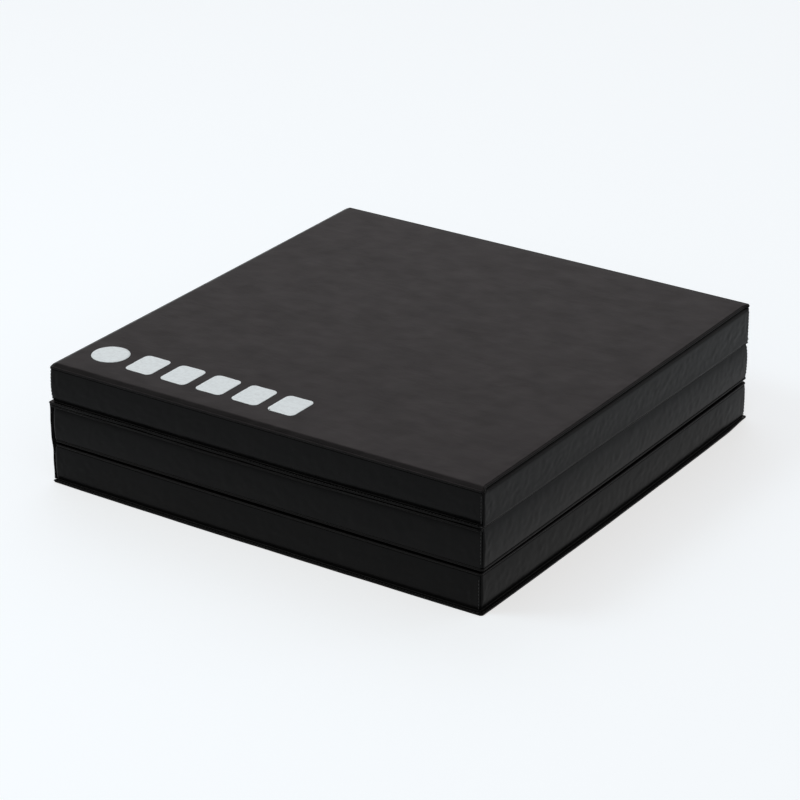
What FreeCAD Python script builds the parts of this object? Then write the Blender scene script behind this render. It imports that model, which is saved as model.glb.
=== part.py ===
"""Folding gym mat: three padded panels in a Z-fold, joined by two fabric folds.

Frame: millimetres, +X along the mat's unfolded length, +Y along its width (both folds turn
about lines parallel to Y), +Z up. The origin is the bottom centre of the folded stack.

Each panel is a foam core in a sewn cover: a face sheet whose edge turns down over the core,
a back sheet whose edge runs out as a flat lip, and gussets between them. Every gusset has a
hem that is turned out and stitched on to the back sheet's lip. The base and the middle panel
meet face to face and share one hinge sheet at their left end. The middle and the top panel
meet back to back, and their back sheets run on into each other round the right fold.
"""
import FreeCAD
import Part

import math
import os
from FreeCAD import Vector

# Driving dimensions, mm
PANEL_LENGTH = 600.0       # X, between the outer faces of the end gussets
PANEL_WIDTH = 610.0        # Y, between the outer faces of the side gussets
PANEL_THICKNESS = 50.0     # Z, over the face sheet and the back sheet
FOLD_GAP = 1.0             # air between two folded panels
SHEET = 1.0                # coated fabric
LIP = 5.0                  # how far a stitched lip stands out
LIP_CORNER_RADIUS = 4.0
EDGE_RADIUS = 5.0          # face sheet's turned edge
CORNER_RADIUS = 8.0        # upright corners of the cover
CORE_PLAY = 0.3            # between a core and its cover

# Folds
RIGHT_FOLD_STANDOFF = 1.0  # the right fold's line, outside the end gussets
RIGHT_FOLD_PLAY = 0.1      # each back sheet stops this short of the right fold's line
LEFT_FOLD_PLAY = 0.2       # and of the left fold's line, which is on the hinge sheet's face
CREASE_RADIUS = 1.5        # rounded crease in the hinge sheet
FLANGE_THICKNESS = 2.0     # the hinge sheet's upright seam allowances

# Stitching
THREAD_WIDTH = 0.8
THREAD_HEIGHT = 0.4

# Printed mark: a disc and a row of upright blocks, by the top panel's near left corner
PRINT_FILM = 0.15
PRINT_NEAR_MARGIN = 38.0   # from the near edge to the mark
PRINT_LEFT_MARGIN = 20.0   # from the left edge to the mark
PRINT_HEIGHT = 46.0
PRINT_GAP = 14.0
PRINT_BLOCKS = 5
PRINT_BLOCK_WIDTH = 37.0
PRINT_BLOCK_RADIUS = 7.0

# Derived
HALF_LENGTH = PANEL_LENGTH / 2
HALF_WIDTH = PANEL_WIDTH / 2
PITCH = PANEL_THICKNESS + FOLD_GAP
MIDDLE_BOTTOM = PITCH
TOP_BOTTOM = 2 * PITCH
STACK_HEIGHT = 2 * PITCH + PANEL_THICKNESS
LEFT_FOLD_HEIGHT = PITCH - FOLD_GAP / 2
RIGHT_FOLD_HEIGHT = TOP_BOTTOM - FOLD_GAP / 2
RIGHT_FOLD_X = HALF_LENGTH + RIGHT_FOLD_STANDOFF
SIDES = ("left", "right", "near", "far")


def plan_face(left, right, near, far, radii, height):
    """Rounded rectangle at one height. radii: (near left, near right, far right, far left)."""
    corners = [
        (Vector(left, near, height), Vector(1, 0, 0), Vector(0, 1, 0)),
        (Vector(right, near, height), Vector(0, 1, 0), Vector(-1, 0, 0)),
        (Vector(right, far, height), Vector(-1, 0, 0), Vector(0, -1, 0)),
        (Vector(left, far, height), Vector(0, -1, 0), Vector(1, 0, 0)),
    ]
    arcs = []
    for (corner, onward, inward), radius in zip(corners, radii):
        start = corner + inward * radius
        end = corner + onward * radius
        centre = corner + (onward + inward) * radius
        middle = centre + (corner - centre).normalize() * radius
        arcs.append((start, middle, end))
    edges = []
    for index, (start, middle, end) in enumerate(arcs):
        edges.append(Part.Arc(start, middle, end).toShape())
        edges.append(Part.LineSegment(end, arcs[(index + 1) % 4][0]).toShape())
    return Part.Face(Part.Wire(edges))


def prism(left, right, near, far, radii, low, high):
    """Upright prism on a rounded rectangle."""
    return plan_face(left, right, near, far, radii, low).extrude(Vector(0, 0, high - low))


def block(low, high):
    """Box between two corners."""
    return Part.makeBox(high[0] - low[0], high[1] - low[1], high[2] - low[2], Vector(*low))


def panel_body(inset, radius, low, high, turned_sides):
    """Panel-shaped solid, inset from the cover's outer faces, its top edge rounded on some sides."""
    left, right = -HALF_LENGTH + inset, HALF_LENGTH - inset
    near, far = -HALF_WIDTH + inset, HALF_WIDTH - inset
    corner = CORNER_RADIUS - inset
    solid = prism(left, right, near, far, (corner,) * 4, low, high)
    if "left" in turned_sides:
        rounded = [edge for edge in solid.Edges if edge.BoundBox.ZMin > high - 0.01]
        return solid.makeFillet(radius, rounded)
    # The hinge end keeps a square edge, so the solid is rounded all round and its left end is
    # filled again with a square-edged slice as wide as the upright corners.
    longer = prism(left - 2 * CORNER_RADIUS, right, near, far, (corner,) * 4, low, high)
    rounded = [edge for edge in longer.Edges if edge.BoundBox.ZMin > high - 0.01]
    return longer.makeFillet(radius, rounded).common(
        prism(left, right, near, far, (corner,) * 4, low, high))


def side_wedge(side, low, high):
    """Room for one side's wall and lip, parted from its neighbours at 45 degrees."""
    reach, depth = 4 * LIP, 30.0
    outer_x, outer_y = HALF_LENGTH + reach, HALF_WIDTH + reach
    inner_x, inner_y = HALF_LENGTH - depth, HALF_WIDTH - depth
    corners = {
        "near": [(-outer_x, -outer_y), (outer_x, -outer_y), (inner_x, -inner_y), (-inner_x, -inner_y)],
        "far": [(outer_x, outer_y), (-outer_x, outer_y), (-inner_x, inner_y), (inner_x, inner_y)],
        "left": [(-outer_x, outer_y), (-outer_x, -outer_y), (-inner_x, -inner_y), (-inner_x, inner_y)],
        "right": [(outer_x, -outer_y), (outer_x, outer_y), (inner_x, inner_y), (inner_x, -inner_y)],
    }[side]
    points = [Vector(x, y, low) for x, y in corners]
    outline = Part.makePolygon(points + points[:1])
    return Part.Face(outline).extrude(Vector(0, 0, high - low))


def lip_prism(lips, low, high):
    """Prism over the panel's plan and its lips; lips maps a side to how far its lip stands out."""
    return prism(-HALF_LENGTH - lips["left"], HALF_LENGTH + lips["right"],
                 -HALF_WIDTH - lips["near"], HALF_WIDTH + lips["far"],
                 (LIP_CORNER_RADIUS,) * 4, low, high)


def left_wall(low, high):
    """Sheet-thick wall on the panels' left end, out to the middle of both upright corners."""
    radii = (CORNER_RADIUS,) * 4
    inner_radii = (CORNER_RADIUS - SHEET,) * 4
    outer = prism(-HALF_LENGTH, HALF_LENGTH, -HALF_WIDTH, HALF_WIDTH, radii, low, high)
    inner = prism(-HALF_LENGTH + SHEET, HALF_LENGTH - SHEET, -HALF_WIDTH + SHEET,
                  HALF_WIDTH - SHEET, inner_radii, low, high)
    return outer.cut(inner).common(side_wedge("left", low, high))


def panel_parts(lips, hinge_sheet_left, hem_sides):
    """One panel with its back sheet down at height 0, as a dict of part name to shape.

    lips gives each side's lip width. A panel with the shared hinge sheet has no left gusset
    and a square face edge there. hem_sides are the sides whose gusset has a turned-out hem.
    """
    turned = ("right", "near", "far") if hinge_sheet_left else SIDES
    turn_height = PANEL_THICKNESS - EDGE_RADIUS
    envelope = panel_body(0.0, EDGE_RADIUS, SHEET, PANEL_THICKNESS, turned)
    hollow = panel_body(SHEET, EDGE_RADIUS - SHEET, SHEET, PANEL_THICKNESS - SHEET, turned)
    cover = envelope.cut(hollow)
    reach = 2 * HALF_WIDTH

    def between(low, high):
        return block((-reach, -reach, low), (reach, reach, high))

    parts = {"back_sheet": lip_prism(lips, 0.0, SHEET)}
    face = cover.common(between(turn_height, PANEL_THICKNESS))
    if hinge_sheet_left:
        face = face.cut(left_wall(SHEET, PITCH))
    parts["face_sheet"] = face

    wall = cover.common(between(SHEET, turn_height))
    hem = lip_prism(lips, SHEET, 2 * SHEET).cut(envelope)
    for side in SIDES:
        if side == "left" and hinge_sheet_left:
            continue
        wedge = side_wedge(side, SHEET, turn_height)
        gusset = wall.common(wedge)
        if side in hem_sides:
            gusset = gusset.fuse(hem.common(wedge)).removeSplitter()
        parts[side + "_gusset"] = gusset

    parts["foam_core"] = panel_body(SHEET + CORE_PLAY, EDGE_RADIUS - SHEET - CORE_PLAY,
                                    SHEET + CORE_PLAY, PANEL_THICKNESS - SHEET - CORE_PLAY, turned)
    parts["stitching"] = lip_stitching(hem_sides)
    return parts


def lip_stitching(hem_sides):
    """Straight thread runs along the middle of each hemmed lip."""
    low, high = 2 * SHEET, 2 * SHEET + THREAD_HEIGHT
    middle = LIP / 2
    near, far = middle - THREAD_WIDTH / 2, middle + THREAD_WIDTH / 2
    run_x, run_y = HALF_LENGTH - CORNER_RADIUS, HALF_WIDTH - CORNER_RADIUS
    runs = {
        "near": ((-run_x, -HALF_WIDTH - far, low), (run_x, -HALF_WIDTH - near, high)),
        "far": ((-run_x, HALF_WIDTH + near, low), (run_x, HALF_WIDTH + far, high)),
        "left": ((-HALF_LENGTH - far, -run_y, low), (-HALF_LENGTH - near, run_y, high)),
        "right": ((HALF_LENGTH + near, -run_y, low), (HALF_LENGTH + far, run_y, high)),
    }
    return Part.makeCompound([block(*runs[side]) for side in hem_sides])


def placed(shape, bottom, face_down):
    """Panel part moved to its height in the stack, turned face down where asked."""
    if face_down:
        shape = shape.mirror(Vector(0, 0, PANEL_THICKNESS / 2), Vector(0, 0, 1))
    return shape.translated(Vector(0, 0, bottom))


def hinge_sheet():
    """Sheet over the left ends of the base and the middle panel, with its crease and flanges."""
    low, high = SHEET, MIDDLE_BOTTOM + PANEL_THICKNESS - SHEET
    plan = prism(-HALF_LENGTH, HALF_LENGTH, -HALF_WIDTH, HALF_WIDTH, (CORNER_RADIUS,) * 4, low, high)
    sheet = left_wall(low, high)
    flat_half = HALF_WIDTH - CORNER_RADIUS
    crease = Part.makeCylinder(CREASE_RADIUS, 2 * flat_half,
                               Vector(-HALF_LENGTH, -flat_half, LEFT_FOLD_HEIGHT), Vector(0, 1, 0))
    sheet = sheet.fuse(crease.cut(plan))
    seam_y = HALF_WIDTH - CORNER_RADIUS * (1 - math.sqrt(0.5))
    for near in (-seam_y, seam_y - FLANGE_THICKNESS):
        flange = block((-HALF_LENGTH - LIP, near, low),
                       (-HALF_LENGTH + CORNER_RADIUS, near + FLANGE_THICKNESS, high))
        sheet = sheet.fuse(flange.cut(plan))
    return sheet.removeSplitter()


def right_fold():
    """Back sheets' U-bend round the line between the middle and the top panel."""
    length = PANEL_WIDTH - 2 * CORNER_RADIUS
    start = Vector(RIGHT_FOLD_X, -length / 2, RIGHT_FOLD_HEIGHT)
    along = Vector(0, 1, 0)
    inner, outer = FOLD_GAP / 2, FOLD_GAP / 2 + SHEET
    bend = Part.makeCylinder(outer, length, start, along).cut(
        Part.makeCylinder(inner, length, start, along))
    bend = bend.common(block((RIGHT_FOLD_X, -length, 0), (RIGHT_FOLD_X + LIP, length, STACK_HEIGHT)))
    for low in (RIGHT_FOLD_HEIGHT - outer, RIGHT_FOLD_HEIGHT + inner):
        leg = block((RIGHT_FOLD_X - RIGHT_FOLD_PLAY, -length / 2, low),
                    (RIGHT_FOLD_X, length / 2, low + SHEET))
        bend = bend.fuse(leg)
    return bend.removeSplitter()


def printed_mark():
    """Film of ink on the top panel's face: a disc, then a row of upright rounded blocks."""
    left = -HALF_LENGTH + PRINT_LEFT_MARGIN
    near = -HALF_WIDTH + PRINT_NEAR_MARGIN
    far = near + PRINT_HEIGHT
    radius = PRINT_HEIGHT / 2
    shapes = [Part.makeCylinder(radius, PRINT_FILM,
                                Vector(left + radius, near + radius, STACK_HEIGHT))]
    for index in range(PRINT_BLOCKS):
        start = left + PRINT_HEIGHT + PRINT_GAP + index * (PRINT_BLOCK_WIDTH + PRINT_GAP)
        shapes.append(prism(start, start + PRINT_BLOCK_WIDTH, near, far, (PRINT_BLOCK_RADIUS,) * 4,
                            STACK_HEIGHT, STACK_HEIGHT + PRINT_FILM))
    return Part.makeCompound(shapes)


def build():
    """All nodes of the folded mat, as a dict of node name to shape."""
    to_left_fold = -LEFT_FOLD_PLAY
    to_right_fold = RIGHT_FOLD_STANDOFF - RIGHT_FOLD_PLAY
    panels = (
        ("base", 0.0, False, True, dict(left=to_left_fold, right=LIP, near=LIP, far=LIP),
         ("right", "near", "far")),
        ("middle", MIDDLE_BOTTOM, True, True,
         dict(left=to_left_fold, right=to_right_fold, near=LIP, far=LIP), ("near", "far")),
        ("top", TOP_BOTTOM, False, False, dict(left=LIP, right=to_right_fold, near=LIP, far=LIP),
         ("left", "near", "far")),
    )
    nodes = {}
    for name, bottom, face_down, hinge_sheet_left, lips, hem_sides in panels:
        for part, shape in panel_parts(lips, hinge_sheet_left, hem_sides).items():
            nodes[name + "_" + part] = placed(shape, bottom, face_down)
    nodes["left_hinge_sheet"] = hinge_sheet()
    nodes["right_hinge_fold"] = right_fold()
    nodes["top_printed_mark"] = printed_mark()
    return nodes


os.makedirs("parts", exist_ok=True)
for node, shape in build().items():
    shape.exportStep("parts/" + node + ".step")
    box = shape.BoundBox
    print("%-24s solids %d valid %s volume %.1f  x %.2f %.2f  y %.2f %.2f  z %.2f %.2f" % (
        node, len(shape.Solids), shape.isValid(), shape.Volume,
        box.XMin, box.XMax, box.YMin, box.YMax, box.ZMin, box.ZMax))
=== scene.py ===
"""Folding gym mat: the visible covers, folds, stitching, print and foam, built round its frame.

The mat is three foam panels in sewn covers of black coated fabric, stacked in a Z-fold. Every
cover is made the way it is sewn: a face sheet whose edge turns down over the foam, gussets with
a hem that is turned out, a back sheet under them, and thread through the lip where they meet.
Lengths are in metres. +X is the mat's unfolded length, the folds turn about lines along Y.
"""

import logging
import math
from dataclasses import dataclass, field
from enum import Enum

import bmesh
import bpy
import numpy as np
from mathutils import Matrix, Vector


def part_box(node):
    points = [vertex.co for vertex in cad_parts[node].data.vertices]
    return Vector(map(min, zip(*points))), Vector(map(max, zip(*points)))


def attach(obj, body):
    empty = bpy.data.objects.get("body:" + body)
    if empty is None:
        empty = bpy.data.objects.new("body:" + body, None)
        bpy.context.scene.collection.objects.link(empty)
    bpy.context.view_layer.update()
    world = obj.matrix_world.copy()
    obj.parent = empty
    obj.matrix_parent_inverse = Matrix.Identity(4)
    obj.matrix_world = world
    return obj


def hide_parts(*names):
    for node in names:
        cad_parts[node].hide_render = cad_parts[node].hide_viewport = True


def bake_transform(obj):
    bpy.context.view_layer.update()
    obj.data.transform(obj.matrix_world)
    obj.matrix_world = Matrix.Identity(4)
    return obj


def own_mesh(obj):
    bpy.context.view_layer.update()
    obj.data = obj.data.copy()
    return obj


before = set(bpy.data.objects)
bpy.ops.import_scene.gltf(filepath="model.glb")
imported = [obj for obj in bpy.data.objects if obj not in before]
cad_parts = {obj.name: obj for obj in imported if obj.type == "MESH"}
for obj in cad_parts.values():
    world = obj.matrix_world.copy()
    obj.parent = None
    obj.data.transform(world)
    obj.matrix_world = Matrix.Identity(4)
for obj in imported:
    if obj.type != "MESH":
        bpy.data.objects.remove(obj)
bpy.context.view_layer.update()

log = logging.getLogger("gym_mat")
MM = 0.001


class Side(Enum):
    """The four sides of a panel, as seen from the near side."""

    NEAR = "near"
    RIGHT = "right"
    FAR = "far"
    LEFT = "left"


class Facing(Enum):
    """Which way a panel's face sheet looks in the folded stack."""

    UP = 1
    DOWN = -1


# ---------------------------------------------------------------- finishes


def new_material(name: str) -> tuple[bpy.types.Material, bpy.types.NodeTree, bpy.types.Node]:
    """Make an empty node material.

    Args:
        name: the material's name.

    Returns:
        The material, its node tree and its Principled shader.
    """
    material = bpy.data.materials.new(name)
    material.use_nodes = True
    tree = material.node_tree
    return material, tree, tree.nodes["Principled BSDF"]


def object_coordinates(tree: bpy.types.NodeTree, scale: tuple[float, float, float],
                       turn: float = 0.0) -> bpy.types.NodeSocket:
    """Object coordinates through a Mapping node.

    Args:
        tree: the material's node tree.
        scale: how many pattern units go in a metre along each axis.
        turn: turn of the pattern about Z, in degrees.

    Returns:
        The mapped vector.
    """
    place = tree.nodes.new("ShaderNodeTexCoord")
    mapping = tree.nodes.new("ShaderNodeMapping")
    mapping.inputs["Scale"].default_value = scale
    mapping.inputs["Rotation"].default_value = (0.0, 0.0, math.radians(turn))
    tree.links.new(place.outputs["Object"], mapping.inputs["Vector"])
    return mapping.outputs["Vector"]


def noise(tree: bpy.types.NodeTree, vector: bpy.types.NodeSocket, detail: float = 3.0,
          distortion: float = 0.0, ridged: bool = False) -> bpy.types.NodeSocket:
    """Fractal noise on a vector, from 0 to 1, or ridged for creases."""
    node = tree.nodes.new("ShaderNodeTexNoise")
    node.inputs["Scale"].default_value = 1.0
    node.inputs["Detail"].default_value = detail
    node.inputs["Distortion"].default_value = distortion
    if ridged:
        node.noise_type = "RIDGED_MULTIFRACTAL"
    tree.links.new(vector, node.inputs["Vector"])
    return node.outputs["Fac"]


def remap(tree: bpy.types.NodeTree, value: bpy.types.NodeSocket, low: float, high: float,
          to_low: float, to_high: float) -> bpy.types.NodeSocket:
    """Map a value's range on to another, clamped."""
    node = tree.nodes.new("ShaderNodeMapRange")
    for name, number in (("From Min", low), ("From Max", high), ("To Min", to_low), ("To Max", to_high)):
        node.inputs[name].default_value = number
    tree.links.new(value, node.inputs["Value"])
    return node.outputs["Result"]


def bump(tree: bpy.types.NodeTree, height: bpy.types.NodeSocket, distance: float, strength: float,
         below: bpy.types.NodeSocket | None = None) -> bpy.types.NodeSocket:
    """Bump of a real depth in metres, laid over another bump if one is given."""
    node = tree.nodes.new("ShaderNodeBump")
    node.inputs["Distance"].default_value = distance
    node.inputs["Strength"].default_value = strength
    tree.links.new(height, node.inputs["Height"])
    if below is not None:
        tree.links.new(below, node.inputs["Normal"])
    return node.outputs["Normal"]


@dataclass(frozen=True)
class CoatedFabric:
    """Black vinyl on a woven back: pebble grain, fine creases and a mottled satin gloss."""

    name: str
    dark: tuple[float, float, float, float]
    light: tuple[float, float, float, float]
    roughness: tuple[float, float]
    grain: float
    crease: float
    fold: float
    specular: float = 0.07

    def material(self) -> bpy.types.Material:
        """Build the node material.

        Returns:
            The material.
        """
        material, tree, shader = new_material(self.name)
        links = tree.links
        mottle = noise(tree, object_coordinates(tree, (30.0, 42.0, 42.0)), detail=5.0)
        streaks = noise(tree, object_coordinates(tree, (60.0, 130.0, 60.0), turn=-33.0), detail=5.0,
                        distortion=0.8, ridged=True)
        folds = noise(tree, object_coordinates(tree, (16.0, 38.0, 20.0), turn=-25.0), detail=3.0,
                      distortion=1.4)
        pebble = tree.nodes.new("ShaderNodeTexVoronoi")
        pebble.feature = "SMOOTH_F1"
        pebble.inputs["Scale"].default_value = 1.0
        links.new(object_coordinates(tree, (900.0, 900.0, 900.0)), pebble.inputs["Vector"])

        colour = tree.nodes.new("ShaderNodeMix")
        colour.data_type = "RGBA"
        colour.inputs["A"].default_value = self.dark
        colour.inputs["B"].default_value = self.light
        links.new(remap(tree, mottle, 0.3, 0.7, 0.0, 1.0), colour.inputs["Factor"])
        links.new(colour.outputs["Result"], shader.inputs["Base Color"])

        links.new(remap(tree, mottle, 0.25, 0.75, *self.roughness), shader.inputs["Roughness"])
        shader.inputs["Specular IOR Level"].default_value = self.specular
        grain = bump(tree, pebble.outputs["Distance"], 0.25 * MM, self.grain)
        creased = bump(tree, streaks, 0.35 * MM, self.crease, grain)
        links.new(bump(tree, folds, 1.4 * MM, self.fold, creased), shader.inputs["Normal"])
        return material


@dataclass(frozen=True)
class Foam:
    """Closed-cell foam: matt, off-white, with a fine cell texture and faint skiving lines."""

    name: str = "closed_cell_foam"
    colour: tuple[float, float, float, float] = (0.62, 0.63, 0.61, 1.0)
    roughness: float = 0.9

    def material(self) -> bpy.types.Material:
        """Build the node material.

        Returns:
            The material.
        """
        material, tree, shader = new_material(self.name)
        cells = tree.nodes.new("ShaderNodeTexVoronoi")
        cells.inputs["Scale"].default_value = 1.0
        tree.links.new(object_coordinates(tree, (450.0, 450.0, 450.0)), cells.inputs["Vector"])
        lines = noise(tree, object_coordinates(tree, (6.0, 220.0, 220.0)), detail=2.0)
        tint = tree.nodes.new("ShaderNodeMix")
        tint.data_type = "RGBA"
        tint.inputs["A"].default_value = self.colour
        tint.inputs["B"].default_value = tuple(0.86 * c for c in self.colour[:3]) + (1.0,)
        tree.links.new(cells.outputs["Distance"], tint.inputs["Factor"])
        tree.links.new(tint.outputs["Result"], shader.inputs["Base Color"])
        shader.inputs["Roughness"].default_value = self.roughness
        pitted = bump(tree, cells.outputs["Distance"], 0.4 * MM, 0.6)
        tree.links.new(bump(tree, lines, 0.2 * MM, 0.4, pitted), shader.inputs["Normal"])
        return material


@dataclass(frozen=True)
class Thread:
    """Bonded polyester thread: near black, with the twist of its plies."""

    name: str = "sewing_thread"
    colour: tuple[float, float, float, float] = (0.006, 0.006, 0.006, 1.0)
    roughness: float = 0.62

    def material(self) -> bpy.types.Material:
        """Build the node material.

        Returns:
            The material.
        """
        material, tree, shader = new_material(self.name)
        twist = tree.nodes.new("ShaderNodeTexWave")
        twist.bands_direction = "DIAGONAL"
        twist.inputs["Scale"].default_value = 1.0
        tree.links.new(object_coordinates(tree, (1400.0, 1400.0, 1400.0)), twist.inputs["Vector"])
        tint = tree.nodes.new("ShaderNodeMix")
        tint.data_type = "RGBA"
        tint.inputs["A"].default_value = self.colour
        tint.inputs["B"].default_value = tuple(1.9 * c for c in self.colour[:3]) + (1.0,)
        tree.links.new(twist.outputs["Fac"], tint.inputs["Factor"])
        tree.links.new(tint.outputs["Result"], shader.inputs["Base Color"])
        shader.inputs["Roughness"].default_value = self.roughness
        tree.links.new(bump(tree, twist.outputs["Fac"], 0.1 * MM, 0.5), shader.inputs["Normal"])
        return material


@dataclass(frozen=True)
class Ink:
    """Heat-pressed ink: light cool grey, matt, a little uneven where it sits on the grain."""

    name: str = "pressed_ink"
    colour: tuple[float, float, float, float] = (0.90, 0.98, 1.0, 1.0)
    roughness: tuple[float, float] = (0.5, 0.68)

    def material(self) -> bpy.types.Material:
        """Build the node material.

        Returns:
            The material.
        """
        material, tree, shader = new_material(self.name)
        cover = noise(tree, object_coordinates(tree, (260.0, 260.0, 260.0)), detail=4.0)
        tint = tree.nodes.new("ShaderNodeMix")
        tint.data_type = "RGBA"
        tint.inputs["A"].default_value = tuple(0.9 * c for c in self.colour[:3]) + (1.0,)
        tint.inputs["B"].default_value = self.colour
        tree.links.new(remap(tree, cover, 0.3, 0.6, 0.0, 1.0), tint.inputs["Factor"])
        tree.links.new(tint.outputs["Result"], shader.inputs["Base Color"])
        tree.links.new(remap(tree, cover, 0.3, 0.7, *self.roughness), shader.inputs["Roughness"])
        shader.inputs["Specular IOR Level"].default_value = 0.3
        tree.links.new(bump(tree, cover, 0.1 * MM, 0.4), shader.inputs["Normal"])
        return material


@dataclass(frozen=True)
class Floor:
    """Plain pale studio floor, a little lit from behind like a light table."""

    name: str = "studio_floor"
    colour: tuple[float, float, float, float] = (0.42, 0.53, 0.61, 1.0)
    glow: tuple[float, float, float, float] = (0.640, 0.607, 0.582, 1.0)

    def material(self) -> bpy.types.Material:
        """Build the node material."""
        material, _, shader = new_material(self.name)
        shader.inputs["Base Color"].default_value = self.colour
        shader.inputs["Roughness"].default_value = 1.0
        shader.inputs["Specular IOR Level"].default_value = 0.0
        shader.inputs["Emission Color"].default_value = self.glow
        shader.inputs["Emission Strength"].default_value = 1.0
        return material


# ---------------------------------------------------------------- meshes


def grid_faces(rows: int, columns: int, start: int = 0, wrap: bool = False) -> np.ndarray:
    """Quads of a grid of points stored row by row.

    Args:
        rows: number of rows of points.
        columns: points in a row.
        start: index of the first point.
        wrap: True closes each row on itself.

    Returns:
        Array of quads, anticlockwise seen from the side where row x column points out.
    """
    row, column = np.meshgrid(np.arange(rows - 1), np.arange(columns if wrap else columns - 1),
                              indexing="ij")
    after = (column + 1) % columns
    here, right = row * columns + column, row * columns + after
    quads = np.stack([here, right, right + columns, here + columns], axis=-1)
    return quads.reshape(-1, 4) + start


def rim_band(rows: int, columns: int) -> np.ndarray:
    """Quads that close the rim between a grid of points and its copy, stored right after it.

    Args:
        rows: number of rows of points.
        columns: points in a row.

    Returns:
        Array of quads, one for each edge of the grid's rim.
    """
    rim = np.concatenate([np.arange(columns), np.arange(1, rows) * columns + columns - 1,
                          (rows - 1) * columns + np.arange(columns - 2, -1, -1),
                          np.arange(rows - 2, 0, -1) * columns])
    after, count = np.roll(rim, -1), rows * columns
    return np.stack([rim, rim + count, after + count, after], axis=-1)


def surface_normals(points: np.ndarray) -> np.ndarray:
    """Unit normals of a grid surface: each is the sum of the quads round it, by their area.

    A quad's own normal is its diagonals' cross product, which looks the way that the column
    direction crossed with the row direction does.
    """
    quad = np.cross(points[1:, 1:] - points[:-1, :-1], points[1:, :-1] - points[:-1, 1:])
    normal = np.zeros_like(points)
    for rows, columns in ((slice(1, None), slice(1, None)), (slice(1, None), slice(None, -1)),
                          (slice(None, -1), slice(1, None)), (slice(None, -1), slice(None, -1))):
        normal[rows, columns] += quad
    return normal / np.maximum(np.linalg.norm(normal, axis=-1, keepdims=True), 1e-15)


def weld(piece: bpy.types.Object, distance: float) -> None:
    """Merge a piece's doubled points, then turn its faces outwards."""
    shell = bmesh.new()
    shell.from_mesh(piece.data)
    bmesh.ops.remove_doubles(shell, verts=shell.verts, dist=distance)
    bmesh.ops.recalc_face_normals(shell, faces=shell.faces)
    shell.to_mesh(piece.data)
    shell.free()
    piece.data.update()


def mesh_object(name: str, vertices: np.ndarray, faces: list[np.ndarray],
                material: bpy.types.Material, smooth: bool = True) -> bpy.types.Object:
    """Put arrays into a mesh object at the origin.

    Args:
        name: the piece's name.
        vertices: points, in metres, in the frame.
        faces: arrays of polygons, one array for each number of corners.
        material: the piece's finish.
        smooth: True for smooth shading.

    Returns:
        The object, linked to the scene.
    """
    mesh = bpy.data.meshes.new(name)
    polygons = [tuple(int(i) for i in polygon) for block in faces for polygon in block]
    mesh.from_pydata(vertices.reshape(-1, 3).tolist(), [], polygons)
    mesh.polygons.foreach_set("use_smooth", np.full(len(mesh.polygons), smooth))
    mesh.materials.append(material)
    mesh.update()
    piece = bpy.data.objects.new(name, mesh)
    bpy.context.scene.collection.objects.link(piece)
    log.info("%s: %d points, %d faces", name, len(mesh.vertices), len(mesh.polygons))
    return piece


def closed_sheet(name: str, outer: np.ndarray, thickness: float, material: bpy.types.Material,
                 toward: np.ndarray | tuple[float, float, float]) -> bpy.types.Object:
    """A sheet of real thickness whose outer face is a grid surface.

    The inner face is the outer one moved back along its normals, and a band of quads closes
    the rim between them.

    Args:
        name: the piece's name.
        outer: points of the outer face, rows x columns x 3.
        thickness: the sheet's thickness.
        material: the sheet's finish.
        toward: a direction, or one for each point, that the outer face looks along on the whole.

    Returns:
        The piece.
    """
    rows, columns = outer.shape[:2]
    normal = surface_normals(outer)
    flip = float((normal * np.asarray(toward)).sum(axis=-1).mean()) < 0.0
    inner = outer - normal * (-thickness if flip else thickness)
    front = grid_faces(rows, columns)
    back = grid_faces(rows, columns, start=rows * columns)
    band = rim_band(rows, columns)
    if flip:
        faces = [front[:, ::-1], back, band[:, ::-1]]
    else:
        faces = [front, back[:, ::-1], band]
    return mesh_object(name, np.concatenate([outer.reshape(-1, 3), inner.reshape(-1, 3)]), faces, material)


def smooth_step(value: np.ndarray) -> np.ndarray:
    """Ease from 0 to 1 with level ends."""
    value = np.clip(value, 0.0, 1.0)
    return value * value * (3.0 - 2.0 * value)


def graded(length: float, edge: float, fine: float, coarse: float) -> np.ndarray:
    """Places along a line, finely spaced near both ends and coarsely in the middle.

    Args:
        length: the line's whole length; the places run from minus half to plus half of it.
        edge: length of the fine stretch at each end.
        fine: spacing there.
        coarse: spacing between.

    Returns:
        The places, in order.
    """
    half = length / 2
    ends = np.linspace(0.0, edge, int(round(edge / fine)) + 1)
    middle = np.linspace(-half + edge, half - edge, int(round((length - 2 * edge) / coarse)) + 1)
    return np.concatenate([-half + ends[:-1], middle, half - edge + ends[1:]])


def sampled(field_values: np.ndarray, u: np.ndarray, v: np.ndarray) -> np.ndarray:
    """Read a grid of values between its points.

    Args:
        field_values: rows along v, columns along u.
        u: places from 0 to 1 across the columns.
        v: places from 0 to 1 across the rows.

    Returns:
        The values, blended between the four nearest points with eased weights.
    """
    rows, columns = field_values.shape
    x = np.clip(u, 0.0, 1.0) * (columns - 1)
    y = np.clip(v, 0.0, 1.0) * (rows - 1)
    column = np.minimum(x.astype(int), columns - 2)
    row = np.minimum(y.astype(int), rows - 2)
    s, t = x - column, y - row
    low = field_values[row, column] * (1 - s) + field_values[row, column + 1] * s
    high = field_values[row + 1, column] * (1 - s) + field_values[row + 1, column + 1] * s
    return low * (1 - t) + high * t


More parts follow.
